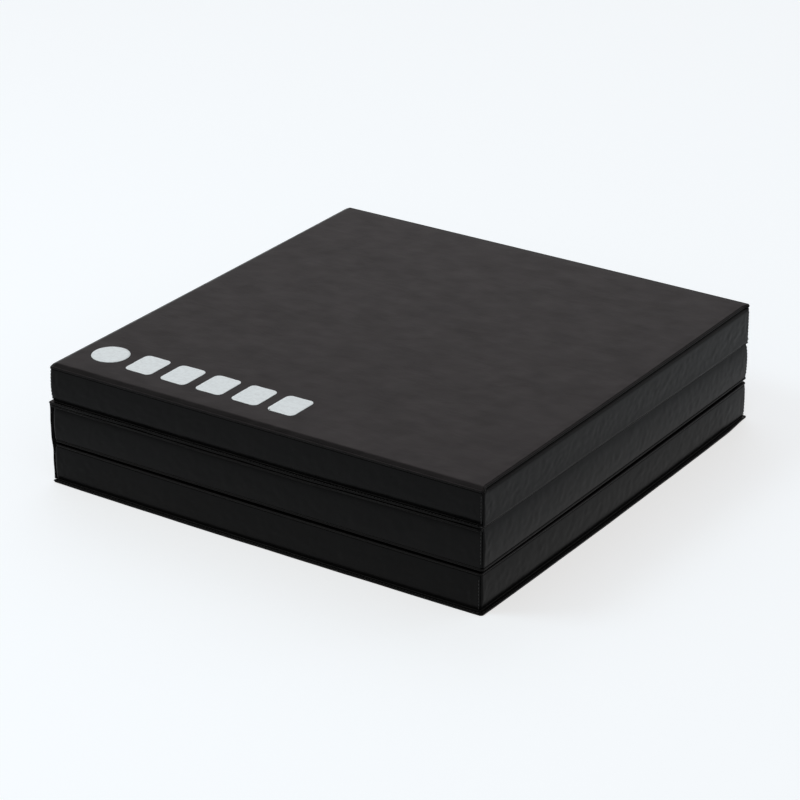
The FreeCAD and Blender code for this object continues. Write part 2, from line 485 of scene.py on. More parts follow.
def stitch_row(name: str, places: np.ndarray, tangents: np.ndarray, normals: np.ndarray, length: float,
               radius: float, thread: bpy.types.Material) -> bpy.types.Object:
    """Many short stitches as one mesh.

    A stitch is a spindle of five hexagonal rings whose ends dive into the cloth: along it the
    radius grows and shrinks, and its axis follows a low arch.

    Args:
        name: the piece's name.
        places: middle of each stitch.
        tangents: unit direction of each stitch.
        normals: unit direction out of the cloth at each stitch.
        length: a stitch's length.
        radius: a stitch's largest radius.
        thread: the thread's finish.

    Returns:
        The piece.
    """
    share = np.array([-1.0, -0.75, 0.0, 0.75, 1.0])
    width = np.array([0.45, 0.9, 1.0, 0.9, 0.45]) * radius
    arch = (1 - share ** 2) * 0.8 * radius - 0.5 * radius
    rings, corners = len(share), 6
    turn = np.arange(corners) * math.pi / 3
    along = np.repeat(share * length / 2, corners)
    sideways = (width[:, None] * np.cos(turn)).ravel()
    upward = (width[:, None] * np.sin(turn) + arch[:, None]).ravel()
    across = np.cross(normals, tangents)
    points = (places[:, None] + along[None, :, None] * tangents[:, None]
              + sideways[None, :, None] * across[:, None] + upward[None, :, None] * normals[:, None])
    first, last = np.arange(corners), np.arange((rings - 1) * corners, rings * corners)
    shift = (np.arange(len(places)) * rings * corners)[:, None, None]
    sides = (grid_faces(rings, corners, wrap=True)[None] + shift).reshape(-1, 4)
    caps = (np.stack([first[::-1], last])[None] + shift).reshape(-1, corners)
    piece = mesh_object(name, points, [sides, caps], thread)
    weld(piece, 0.0)
    return piece


# ---------------------------------------------------------------- cloth


@dataclass(frozen=True)
class SewnCloth:
    """A flat piece of cover held along its seams, cut a little too large for its frame.

    The cloth's rest shape is the frame's rectangle made longer and sheared, so that when its
    edges are held on the frame the rest buckles into the soft ripples of a sewn cover.
    """

    length: float
    height: float
    spacing: float
    slack: float = 0.012
    shear: float = 0.0
    stiffness: float = 18.0
    bending: float = 1.2
    frames: int = 24
    seed: int = 1
    cap: float = 1.6 * MM
    fewest_cells: int = 6
    scatter: float = 0.15 * MM
    quality: int = 6
    mass: float = 0.2
    shear_share: float = 0.6

    def field_shape(self) -> tuple[int, int]:
        """Rows and columns of the cloth's grid."""
        return (max(int(round(self.height / self.spacing)), self.fewest_cells) + 1,
                max(int(round(self.length / self.spacing)), self.fewest_cells) + 1)

    def ripples(self) -> np.ndarray:
        """Run the simulation and read how far the cloth stands off its frame.

        Returns: Grid of heights, in metres, rows across the height and columns along the
            length.
        """
        rows, columns = self.field_shape()
        random = np.random.default_rng(self.seed)
        x, y = np.meshgrid(np.linspace(0.0, self.length, columns), np.linspace(0.0, self.height, rows))
        start = np.stack([x, y, random.normal(0.0, self.scatter, x.shape)], axis=-1)
        rest = np.stack([x * (1 + self.slack) + self.shear * y, y * (1 + self.slack), np.zeros_like(x)],
                        axis=-1)
        mesh = bpy.data.meshes.new("cloth_trial")
        mesh.from_pydata(start.reshape(-1, 3).tolist(), [], grid_faces(rows, columns).tolist())
        cloth = bpy.data.objects.new("cloth_trial", mesh)
        bpy.context.scene.collection.objects.link(cloth)
        cloth.shape_key_add(name="start")
        key = cloth.shape_key_add(name="rest")
        key.data.foreach_set("co", rest.astype(np.float32).ravel())
        held = cloth.vertex_groups.new(name="seams")
        inside = np.zeros((rows, columns), bool)
        inside[1:-1, 1:-1] = True
        held.add(np.flatnonzero(~inside.ravel()).tolist(), 1.0, "REPLACE")
        modifier = cloth.modifiers.new("cloth", "CLOTH")
        settings = modifier.settings
        settings.quality = self.quality
        settings.mass = self.mass
        settings.tension_stiffness = self.stiffness
        settings.compression_stiffness = self.stiffness
        settings.shear_stiffness = self.stiffness * self.shear_share
        settings.bending_stiffness = self.bending
        settings.effector_weights.gravity = 0.0
        settings.vertex_group_mass = "seams"
        settings.rest_shape_key = key
        scene = bpy.context.scene
        modifier.point_cache.frame_start = 1
        modifier.point_cache.frame_end = self.frames
        for step in range(1, self.frames + 1):
            scene.frame_set(step)
        shape = cloth.evaluated_get(bpy.context.evaluated_depsgraph_get()).data
        heights = np.empty(len(shape.vertices) * 3, np.float32)
        shape.vertices.foreach_get("co", heights)
        heights = heights.reshape(rows, columns, 3)[:, :, 2].astype(float)
        bpy.data.objects.remove(cloth)
        scene.frame_set(1)
        limited = self.cap * np.tanh(heights / self.cap)
        log.info("cloth %.3f x %.3f: ripples up to %.2f mm", self.length, self.height,
                 float(np.abs(limited).max()) / MM)
        return limited


# ---------------------------------------------------------------- panels


@dataclass(frozen=True)
class Outline:
    """Rounded rectangle that a cover's wall follows, anticlockwise from its near left corner.

    A place on it is a distance along it. The point there is the sum of what each of the eight
    runs before it adds: four straight ones, and four quarter turns between them.
    """

    left: float
    right: float
    near: float
    far: float
    radius: float

    def runs(self) -> list[tuple[float, bool]]:
        """Length of each run, and whether it turns."""
        quarter = (math.pi / 2 * self.radius, True)
        long_run = (self.right - self.left - 2 * self.radius, False)
        cross_run = (self.far - self.near - 2 * self.radius, False)
        return [long_run, quarter, cross_run, quarter, long_run, quarter, cross_run, quarter]

    def span(self, side: Side) -> tuple[float, float]:
        """Where a side's wall starts and ends: half way round the corner at either end."""
        ends = np.concatenate([[0.0], np.cumsum([length for length, _ in self.runs()])])
        half = math.pi / 4 * self.radius
        first = 2 * list(Side).index(side)
        return ends[first] - half, ends[first + 1] + half

    def at(self, place: np.ndarray) -> tuple[np.ndarray, np.ndarray]:
        """Points and outward normals at some places, each with x and y last.

        Args:
            place: distances along the outline. One below 0 counts back from the start.

        Returns:
            The points and the normals.
        """
        place = np.where(place < 0.0, place + sum(length for length, _ in self.runs()), place)
        point = np.zeros(place.shape + (2,)) + np.array([self.left + self.radius, self.near])
        heading = np.zeros(place.shape)
        start, turned = 0.0, 0.0
        for length, turns in self.runs():
            along = np.clip(place - start, 0.0, length)
            if turns:
                angle = along / self.radius
                forward, sideways = self.radius * np.sin(angle), self.radius * (1 - np.cos(angle))
                heading = heading + angle
            else:
                forward, sideways = along, np.zeros_like(along)
            cosine, sine = math.cos(turned), math.sin(turned)
            point = point + np.stack([forward * cosine - sideways * sine,
                                      forward * sine + sideways * cosine], axis=-1)
            start += length
            turned += math.pi / 2 if turns else 0.0
        normal = np.stack([np.sin(heading), -np.cos(heading)], axis=-1)
        return point, normal

    def outside(self, plan: np.ndarray) -> np.ndarray:
        """How far plan points lie outside the outline's rectangle."""
        x, y = plan[..., 0], plan[..., 1]
        return np.maximum.reduce([self.left - x, x - self.right, self.near - y, y - self.far,
                                  np.zeros_like(x)])


@dataclass(frozen=True)
class Tray:
    """Plan of a sheet: a flat core, and a border whose rows run from 0 at the core to 1.

    In a corner the border's two directions make a quarter of a disc: its row is the larger of
    the two shares, and its direction turns with their ratio.
    """

    left: float
    right: float
    near: float
    far: float
    spacing: float
    border: np.ndarray
    edge: float = 0.0

    def grid(self) -> tuple[np.ndarray, np.ndarray, np.ndarray]:
        """Lay the grid out.

        Returns:
            Core points (rows x columns x 2), border directions (the same) and border rows.
        """
        def line(low: float, high: float) -> tuple[np.ndarray, np.ndarray]:
            if self.edge:
                core = (low + high) / 2 + graded(high - low, self.edge, 1.0 * MM, self.spacing)
            else:
                core = np.linspace(low, high, int(round((high - low) / self.spacing)) + 1)
            places = np.concatenate([np.full(len(self.border), low), core, np.full(len(self.border), high)])
            share = np.concatenate([-self.border[::-1], np.zeros(len(core)), self.border])
            return places, share

        across, across_share = line(self.left, self.right)
        along, along_share = line(self.near, self.far)
        x, y = np.meshgrid(across, along)
        u, v = np.meshgrid(across_share, along_share)
        reach = np.maximum(np.abs(u), np.abs(v))
        angle = np.arctan2(np.abs(v), np.abs(u))
        turned = np.stack([np.sign(u) * np.cos(angle), np.sign(v) * np.sin(angle)], axis=-1)
        turned[reach == 0.0] = 0.0
        return np.stack([x, y], axis=-1), turned, reach


@dataclass
class Seams:
    """Sizes of the sewn edges, shared by every panel."""

    fabric: float = 0.9 * MM
    corner: float = 4.0 * MM
    face_drop: float = 2.7 * MM
    near_turn: float = 1.4 * MM
    end_turn: float = 1.4 * MM
    tuck: float = 1.1 * MM
    welt: float = 0.8 * MM
    welt_width: float = 1.3 * MM
    notch: float = 0.3 * MM
    notch_width: float = 0.8 * MM
    roll_ends: float = 12.0 * MM
    roll_reach: float = 24.0 * MM
    hinge_inset: float = 1.6 * MM
    lip: float = 5.0 * MM
    lip_corner: float = 4.0 * MM
    lip_power: float = 7.0
    hem_height: float = 2.0 * MM
    hem_turn: float = 0.9 * MM
    fold_turn: float = 1.8 * MM
    fold_in: float = 4.0 * MM
    corner_groove: float = 1.0 * MM
    groove_width: float = 0.9 * MM
    corner_stitch: float = 1.9 * MM
    lip_stitch: float = 0.56
    stitch_pitch: float = 4.2 * MM
    stitch_length: float = 3.3 * MM
    stitch_radius: float = 0.3 * MM


@dataclass
class GussetStyle:
    """How one wall of a cover hangs."""

    bulge: float = 1.0 * MM
    pull: float = 2.0 * MM
    pull_width: float = 3.5 * MM
    hemmed: bool = True
    slack: float = 0.008
    shear: float = 0.0
    cap: float = 0.8 * MM
    seed: int = 1


@dataclass
class PanelCover:
    """One padded panel: foam, face sheet, gussets, back sheet and the thread that joins them.

    Heights count from the back plane, 0, to the face plane, and are turned over for a panel
    that lies face down.
    """

    name: str
    body: str
    facing: Facing
    lips: dict[Side, float]
    styles: dict[Side, GussetStyle]
    vinyl: bpy.types.Material
    # Darker copy of the face vinyl for the walls: painted shade.
    wall_vinyl_painted_shade: bpy.types.Material
    back_vinyl: bpy.types.Material
    thread: bpy.types.Material
    foam: bpy.types.Material
    seams: Seams = field(default_factory=Seams)
    face_slack: float = 0.004
    face_cap: float = 0.25 * MM
    crown: float = 0.0
    edge_fall: float = 1.0 * MM
    fall_width: float = 16.0 * MM
    ramps: dict[Side, tuple[float, float]] = field(default_factory=dict)
    end_roll: float = 0.0
    rise: float = 0.0
    lip_taper: float = 0.0
    sway: dict[Side, tuple[float, float, float]] = field(default_factory=dict)
    seed: int = 1

    def __post_init__(self) -> None:
        """Read the panel's place from its frame nodes."""
        low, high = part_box(f"{self.name}_back_sheet")
        core_low, core_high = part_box(f"{self.name}_foam_core")
        face_low, face_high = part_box("top_face_sheet")
        self.hinged = Side.LEFT not in self.styles
        self.outline = Outline(face_low.x, face_high.x, face_low.y, face_high.y, self.seams.corner)
        if self.facing is Facing.UP:
            self.back_z = low.z
            self.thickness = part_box(f"{self.name}_face_sheet")[1].z - low.z
        else:
            self.back_z = high.z
            self.thickness = high.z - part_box(f"{self.name}_face_sheet")[0].z
        self.core_box = (core_low, core_high)
        self.back_thickness = high.z - low.z

    # -- shared shapes

    def world(self, plan: np.ndarray, height: np.ndarray) -> np.ndarray:
        """Points of the frame from plan points and heights over the back plane.

        The part of a plan point outside the outline shrinks by the lips' taper over the last
        tenth before the far side. Then each side's sway moves it: a parabola along the side
        through three offsets, which fades in a straight line to the side opposite. Last, the
        rise at the near right corner lifts it.

        Args:
            plan: points, x and y last.
            height: their heights over the back plane.

        Returns:
            The points, in the frame.
        """
        line = self.outline
        inside = np.stack([np.clip(plan[..., 0], line.left, line.right),
                           np.clip(plan[..., 1], line.near, line.far)], axis=-1)
        u = (inside[..., 0] - line.left) / (line.right - line.left)
        v = (inside[..., 1] - line.near) / (line.far - line.near)
        plan = inside + (plan - inside) * (1 - self.lip_taper * smooth_step(10 * v - 9))[..., None]
        x = plan[..., 0] + self.swayed(Side.RIGHT, v) * u - self.swayed(Side.LEFT, v) * (1 - u)
        y = plan[..., 1] + self.swayed(Side.FAR, u) * v - self.swayed(Side.NEAR, u) * (1 - v)
        z = self.back_z + self.facing.value * height + self.risen(plan, height)
        return np.stack([x, y, z], axis=-1)

    def risen(self, plan: np.ndarray, height: np.ndarray) -> np.ndarray:
        """How far the stack's upper fold rides up, most at its near right corner.

        The rise fades out along both sides from that corner, and from the back plane, where
        two panels rest on each other, to the face plane.
        """
        line = self.outline
        u = (plan[..., 0] - line.left) / (line.right - line.left)
        v = (plan[..., 1] - line.near) / (line.far - line.near)
        toward_right = smooth_step((u - 0.55) / 0.45)
        toward_near = 1 - smooth_step((v - 0.3) / 0.6)
        return self.rise * (toward_right * toward_near) * (1 - np.clip(height / self.thickness, 0.0, 1.0))

    def swayed(self, side: Side, share: np.ndarray) -> np.ndarray:
        """A side's outward offset: the parabola through its offsets at its ends and middle."""
        start, middle, end = self.sway.get(side, (0.0, 0.0, 0.0))
        return (start * (2 * share - 1) * (share - 1) + middle * 4 * share * (1 - share)
                + end * share * (2 * share - 1))

    def rim(self, plan: np.ndarray) -> np.ndarray:
        """Height of the seam between the face sheet and the gussets, over plan points."""
        return self.thickness - self.seams.face_drop - self.edge_drop(plan)

    def lip_lift(self, plan: np.ndarray) -> np.ndarray:
        """How far a lip curls away from the back plane: slow waves that grow towards its edge."""
        x, y = plan[..., 0], plan[..., 1]
        out = self.outline.outside(plan) / self.seams.lip
        phase = 1.7 * self.seed
        wave = (np.sin(17.0 * x + 5.0 * y + phase) + 0.7 * np.sin(39.0 * x - 31.0 * y + 2.3 * phase)
                + 0.5 * np.sin(83.0 * (x + y) + 0.7 * phase))
        return self.lip_curl * (0.35 + 0.3 * np.clip(wave, -1.1, 2.2)) * smooth_step(out)

    @property
    def lip_curl(self) -> float:
        """Largest curl of a lip. The base panel's lies on the floor."""
        return 0.5 * MM if self.name == "base" else 1.5 * MM

    def lip_reach(self, normal: np.ndarray) -> np.ndarray:
        """How far the lip stands out of the wall along a normal.

        From the centre of the corner's turn, the lip's edge is a superellipse whose half axes
        are the turn's radius plus the lip on either side, so its corner is nearly square.
        """
        lips, corner = self.lips, self.seams.corner
        across = corner + np.where(normal[..., 0] < 0.0, lips[Side.LEFT], lips[Side.RIGHT])
        along = corner + np.where(normal[..., 1] < 0.0, lips[Side.NEAR], lips[Side.FAR])
        power = self.seams.lip_power
        share = np.abs(normal[..., 0] / across) ** power + np.abs(normal[..., 1] / along) ** power
        return share ** (-1.0 / power) - corner

    # -- pieces

    def face_sheet(self) -> bpy.types.Object:
        """Face sheet: flat, with a rounded edge that turns down and tucks into the seam.

        The border's rows follow a path of four runs: level, a quarter turn whose radius goes
        over from that of the long edges to that of the ends, a drop, and a small tuck inwards.
        A bead and a narrow notch, both bell curves, follow the turn, but not along an end that
        the shared hinge sheet covers.

        Returns:
            The piece.
        """
        seams = self.seams
        line = self.outline
        inset = seams.hinge_inset if self.hinged else 0.0
        rows = np.linspace(0.0, 1.0, 29)[1:]
        tray = Tray(line.left + seams.corner + inset, line.right - seams.corner,
                    line.near + seams.corner, line.far - seams.corner, 6.0 * MM, rows, edge=10.0 * MM)
        core, turned, reach = tray.grid()
        share = turned[..., 0] ** 2
        turn = seams.near_turn * (1 - share) + seams.end_turn * share
        level = seams.corner - turn
        drop = seams.face_drop - turn - seams.tuck
        quarter, tuck = math.pi / 2, seams.tuck
        path = reach * (level + quarter * turn + drop + quarter * tuck)
        angle = np.clip((path - level) / turn, 0.0, quarter)
        tucked = np.clip((path - level - quarter * turn - drop) / tuck, 0.0, quarter)
        out = np.minimum(path, level) + turn * np.sin(angle) - tuck * (1 - np.cos(tucked))
        fall = (turn * (1 - np.cos(angle)) + tuck * np.sin(tucked)
                + np.clip(path - level - quarter * turn, 0.0, drop))
        bead_at, notch_at = level + 1.15 * turn, level + 0.25 * turn
        proud = (seams.welt * np.exp(-((path - bead_at) / seams.welt_width) ** 2)
                 - seams.notch * np.exp(-((path - notch_at) / seams.notch_width) ** 2))
        sewn = np.where((turned[..., 0] < -0.3) & self.hinged, 0.0, 1.0) * (reach > 0)
        out = out + sewn * proud * np.sin(angle)
        plan = core + turned * out[..., None]
        ripple = self.face_height(plan) * (1 - smooth_step(reach * 1.6))
        height = self.thickness - fall - self.edge_drop(plan) + ripple + sewn * proud * np.cos(angle)
        plan[..., 0] -= self.roll(plan) - tuck
        return self.finish(closed_sheet(f"{self.name}_face_cover", self.world(plan, height), seams.fabric,
                                        self.vinyl, (0.0, 0.0, self.facing.value)),
                           [f"{self.name}_face_sheet"])

    def edge_drop(self, plan: np.ndarray) -> np.ndarray:
        """How far the face sinks towards its edges, softly, and down the ramps along some of them.

        A ramp is a straight slope whose start is rounded by a hyperbola.
        """
        line = self.outline
        x, y = plan[..., 0], plan[..., 1]
        away = {Side.LEFT: x - line.left, Side.RIGHT: line.right - x, Side.NEAR: y - line.near,
                Side.FAR: line.far - y}
        inward = np.minimum.reduce(list(away.values()))
        drop = self.edge_fall * (1 - smooth_step(inward / self.fall_width)) ** 1.5
        for side, (fall, width) in self.ramps.items():
            along = 1 - np.maximum(away[side], 0.0) / width
            drop = drop + fall * (along + np.sqrt(along ** 2 + 0.006)) / 2
        return drop

    def roll(self, plan: np.ndarray) -> np.ndarray:
        """Radius of the roll between the face seam and the wall: it grows along the right end."""
        line, seams = self.outline, self.seams
        inward = np.minimum(plan[..., 1] - line.near, line.far - plan[..., 1])
        grown = (smooth_step(inward / seams.roll_ends)
                 * smooth_step(1 - (line.right - plan[..., 0]) / seams.roll_reach))
        return seams.tuck + self.end_roll * grown

    def face_height(self, plan: np.ndarray) -> np.ndarray:
        """How far the face stands off its plane: the cloth's ripples over a very slight crown."""
        line = self.outline
        u = (plan[..., 0] - line.left) / (line.right - line.left)
        v = (plan[..., 1] - line.near) / (line.far - line.near)
        dome = np.sin(math.pi * np.clip(u, 0.0, 1.0)) * np.sin(math.pi * np.clip(v, 0.0, 1.0))
        return self.crown * np.maximum(dome, 0.0) ** 0.5 + sampled(self.face_ripples(), u, v)

    def face_ripples(self) -> np.ndarray:
        """The face's simulated ripples, run once."""
        if not hasattr(self, "_face_ripples"):
            line = self.outline
            cloth = SewnCloth(line.right - line.left, line.far - line.near, 8.0 * MM, self.face_slack,
                              0.004, cap=self.face_cap, seed=self.seed, frames=16, bending=2.5)
            self._face_ripples = cloth.ripples()
        return self._face_ripples

    def gusset(self, side: Side) -> bpy.types.Object:
        """Wall of the cover, from the tuck under the face seam to the edge of its hem.

        Across the wall the profile is a small quarter turn out of the tuck, a wall that bulges
        and is pulled in towards the lip, a quarter turn outwards and the hem. Along it the wall
        carries its cloth's ripples and dips into the seam at each end.

        Args:
            side: which wall.

        Returns:
            The piece.
        """
        seams, style = self.seams, self.styles[side]
        start, end = self.outline.span(side)
        place = start + (end - start) / 2 + graded(end - start, 16.0 * MM, 0.8 * MM, 3.0 * MM)
        point, normal = self.outline.at(place)
        roll = self.roll(point)[None, :]
        top = self.rim(point)[None, :] - roll
        foot_turn = seams.hem_turn if style.hemmed else seams.fold_turn
        foot = foot_turn + (seams.hem_height if style.hemmed else 0.3 * MM)
        turn = np.linspace(0.0, math.pi / 2, 6)
        wall = np.linspace(0.0, 1.0, 20)[1:-1]
        hem = np.linspace(0.0, 1.0, 6)[1:]
        head_rows = slice(0, len(turn))
        foot_rows = slice(len(turn) + len(wall), 2 * len(turn) + len(wall))
        hem_rows = slice(foot_rows.stop, foot_rows.stop + len(hem))
        part = np.concatenate([np.zeros(len(turn)), wall, np.ones(len(turn) + len(hem))])[:, None]
        mid = 4 * part * (1 - part)
        ripples = sampled(self.wall_ripples(side), (place - start)[None, :] / (end - start), part)
        near_seam = np.minimum(place - start, end - place)
        dip = seams.corner_groove * np.exp(-(near_seam / seams.groove_width) ** 2) * (part < 1.0)
        pull = style.pull * np.exp(-(1 - part) * (top - foot) / style.pull_width)
        out = style.bulge * mid + ripples * mid ** 0.5 - pull - dip
        height = top + (foot - top) * part
        out[head_rows] -= roll * (1 - np.sin(turn))[:, None]
        height[head_rows] += (roll + 0.15 * (roll - seams.tuck)) * np.cos(turn)[:, None]
        out[foot_rows] += (foot_turn if style.hemmed else -foot_turn) * (1 - np.cos(turn))[:, None]
        height[foot_rows] -= foot_turn * np.sin(turn)[:, None]
        edge = self.lip_reach(normal)[None, :] if style.hemmed else np.full((1, len(place)), -seams.fold_in)
        root = out[foot_rows.stop - 1][None, :]
        out[hem_rows] = root + (edge - root) * hem[:, None]
        height[hem_rows] = foot - foot_turn
        plan = point[None] + normal[None] * out[..., None]
        height = height + self.lip_lift(plan)
        toward = np.concatenate([normal, np.zeros(normal.shape[:1] + (1,))], axis=-1)
        # The wall wears the darker copy of the vinyl: painted shade on the sides.
        return self.finish(closed_sheet(f"{self.name}_{side.value}_gusset_cover", self.world(plan, height),
                                        seams.fabric, self.wall_vinyl_painted_shade, toward[None]),
                           [f"{self.name}_{side.value}_gusset"])

    def wall_ripples(self, side: Side) -> np.ndarray:
        """A wall's simulated ripples."""
        style = self.styles[side]
        start, end = self.outline.span(side)
        cloth = SewnCloth(end - start, self.thickness - 10.0 * MM, 4.0 * MM, style.slack, style.shear,
                          cap=style.cap, seed=style.seed)
        return cloth.ripples()

    def back_sheet(self) -> bpy.types.Object:
        """Back sheet: flat on the back plane, its edge running out into the lip."""
        seams, line, lips = self.seams, self.outline, self.lips
        rounding = seams.lip_corner
        rows = np.linspace(0.0, 1.0, 6)[1:]
        tray = Tray(line.left - lips[Side.LEFT] + rounding, line.right + lips[Side.RIGHT] - rounding,
                    line.near - lips[Side.NEAR] + rounding, line.far + lips[Side.FAR] - rounding,
                    6.0 * MM, rows)
        core, turned, reach = tray.grid()
        plan = core + turned * (rounding * reach)[..., None]
        height = self.lip_lift(plan)
        piece = closed_sheet(f"{self.name}_back_cover", self.world(plan, height), self.back_thickness,
                             self.back_vinyl, (0.0, 0.0, -self.facing.value))
        return self.finish(piece, [f"{self.name}_back_sheet"])

    def foam_core(self) -> bpy.types.Object:
        """Foam block: a rounded slab, its faces crowned by the tension of its cover.

        Half of it is a tray whose border turns down through a quarter circle; the other half
        is the same tray turned over, and the two meet at mid height.
        """
        low, high = self.core_box
        reach_in, drop = 14.0 * MM, 7.0 * MM
        face_play, side_play, spacing = 0.4 * MM, 1.6 * MM, 12.0 * MM
        half_height = (high.z - low.z) / 2 - face_play
        rows = np.concatenate([np.linspace(0.0, 0.5, 9)[1:], np.linspace(0.5, 1.0, 5)[1:]])
        inset = reach_in + side_play
        tray = Tray(low.x + inset, high.x - inset, low.y + inset, high.y - inset, spacing, rows)
        core, turned, reach = tray.grid()
        angle = math.pi / 2 * np.clip(reach * 2, 0.0, 1.0)
        wall = np.clip(reach * 2 - 1, 0.0, 1.0)
        plan = core + turned * (reach_in * np.sin(angle))[..., None]
        rise = half_height - drop * (1 - np.cos(angle)) - (half_height - drop) * wall
        middle = abs((low.z + high.z) / 2 - self.back_z)
        upper = self.world(plan, middle + self.facing.value * rise)
        lower = self.world(plan, middle - self.facing.value * rise)
        rows_count, columns = upper.shape[:2]
        count = rows_count * columns
        faces = grid_faces(rows_count, columns)
        piece = mesh_object(f"{self.name}_foam_block",
                            np.concatenate([upper.reshape(-1, 3), lower.reshape(-1, 3)]),
                            [faces, faces[:, ::-1] + count], self.foam)
        weld(piece, 0.01 * MM)
        return self.ride(piece, [f"{self.name}_foam_core"])

    def stitching(self) -> bpy.types.Object:
        """Lock stitches along each hemmed lip and up each corner seam, as one piece.

        Returns:
            The piece.
        """
        seams = self.seams
        places, tangents, normals = [], [], []
        for side in self.styles:
            start, end = self.outline.span(side)
            if self.styles[side].hemmed:
                count = int((end - start) / seams.stitch_pitch)
                point, normal = self.outline.at(start + (np.arange(count) + 0.5) * (end - start) / count)
                plan = point + normal * (seams.lip_stitch * self.lip_reach(normal))[:, None]
                height = seams.hem_height + self.lip_lift(plan) + 0.2 * seams.stitch_radius
                places.append(self.world(plan, height))
                tangents.append(np.stack([-normal[:, 1], normal[:, 0], np.zeros(count)], axis=-1))
                normals.append(np.tile([0.0, 0.0, float(self.facing.value)], (count, 1)))
            point, normal = self.outline.at(np.array([end - seams.corner_stitch]))
            rim = float(self.rim(point)[0])
            height = np.arange(seams.hem_height + 4.0 * MM, rim - 3.0 * MM, seams.stitch_pitch)
            part = (height - seams.hem_height) / (rim - seams.hem_height)
            style = self.styles[side]
            lift = style.bulge * 4 * part * (1 - part) - style.pull * np.exp(-part * rim / style.pull_width)
            normal = np.repeat(normal, len(height), axis=0)
            places.append(self.world(point + normal * lift[:, None], height))
            tangents.append(np.tile([0.0, 0.0, 1.0], (len(height), 1)))
            normals.append(np.concatenate([normal, np.zeros((len(height), 1))], axis=-1))
        piece = stitch_row(f"{self.name}_lip_stitches", np.concatenate(places), np.concatenate(tangents),
                           np.concatenate(normals), seams.stitch_length, seams.stitch_radius, self.thread)
        return self.ride(piece, [f"{self.name}_stitching"])

    # -- joining to the frame

    def ride(self, piece: bpy.types.Object, nodes: list[str]) -> bpy.types.Object:
        """Set a piece on the panel's body, and hide the frame nodes it stands for."""
        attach(piece, self.body)
        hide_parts(*nodes)
        return piece

    def finish(self, piece: bpy.types.Object, nodes: list[str]) -> bpy.types.Object:
        """As ride, for a sheet stretched over the foam."""
        return self.ride(piece, nodes)

    def build(self) -> None:
        """Make the panel's pieces, foam first."""
        self.foam_core()
        self.back_sheet()
        self.face_sheet()
        for side in self.styles:
            self.gusset(side)
        self.stitching()


# ---------------------------------------------------------------- folds


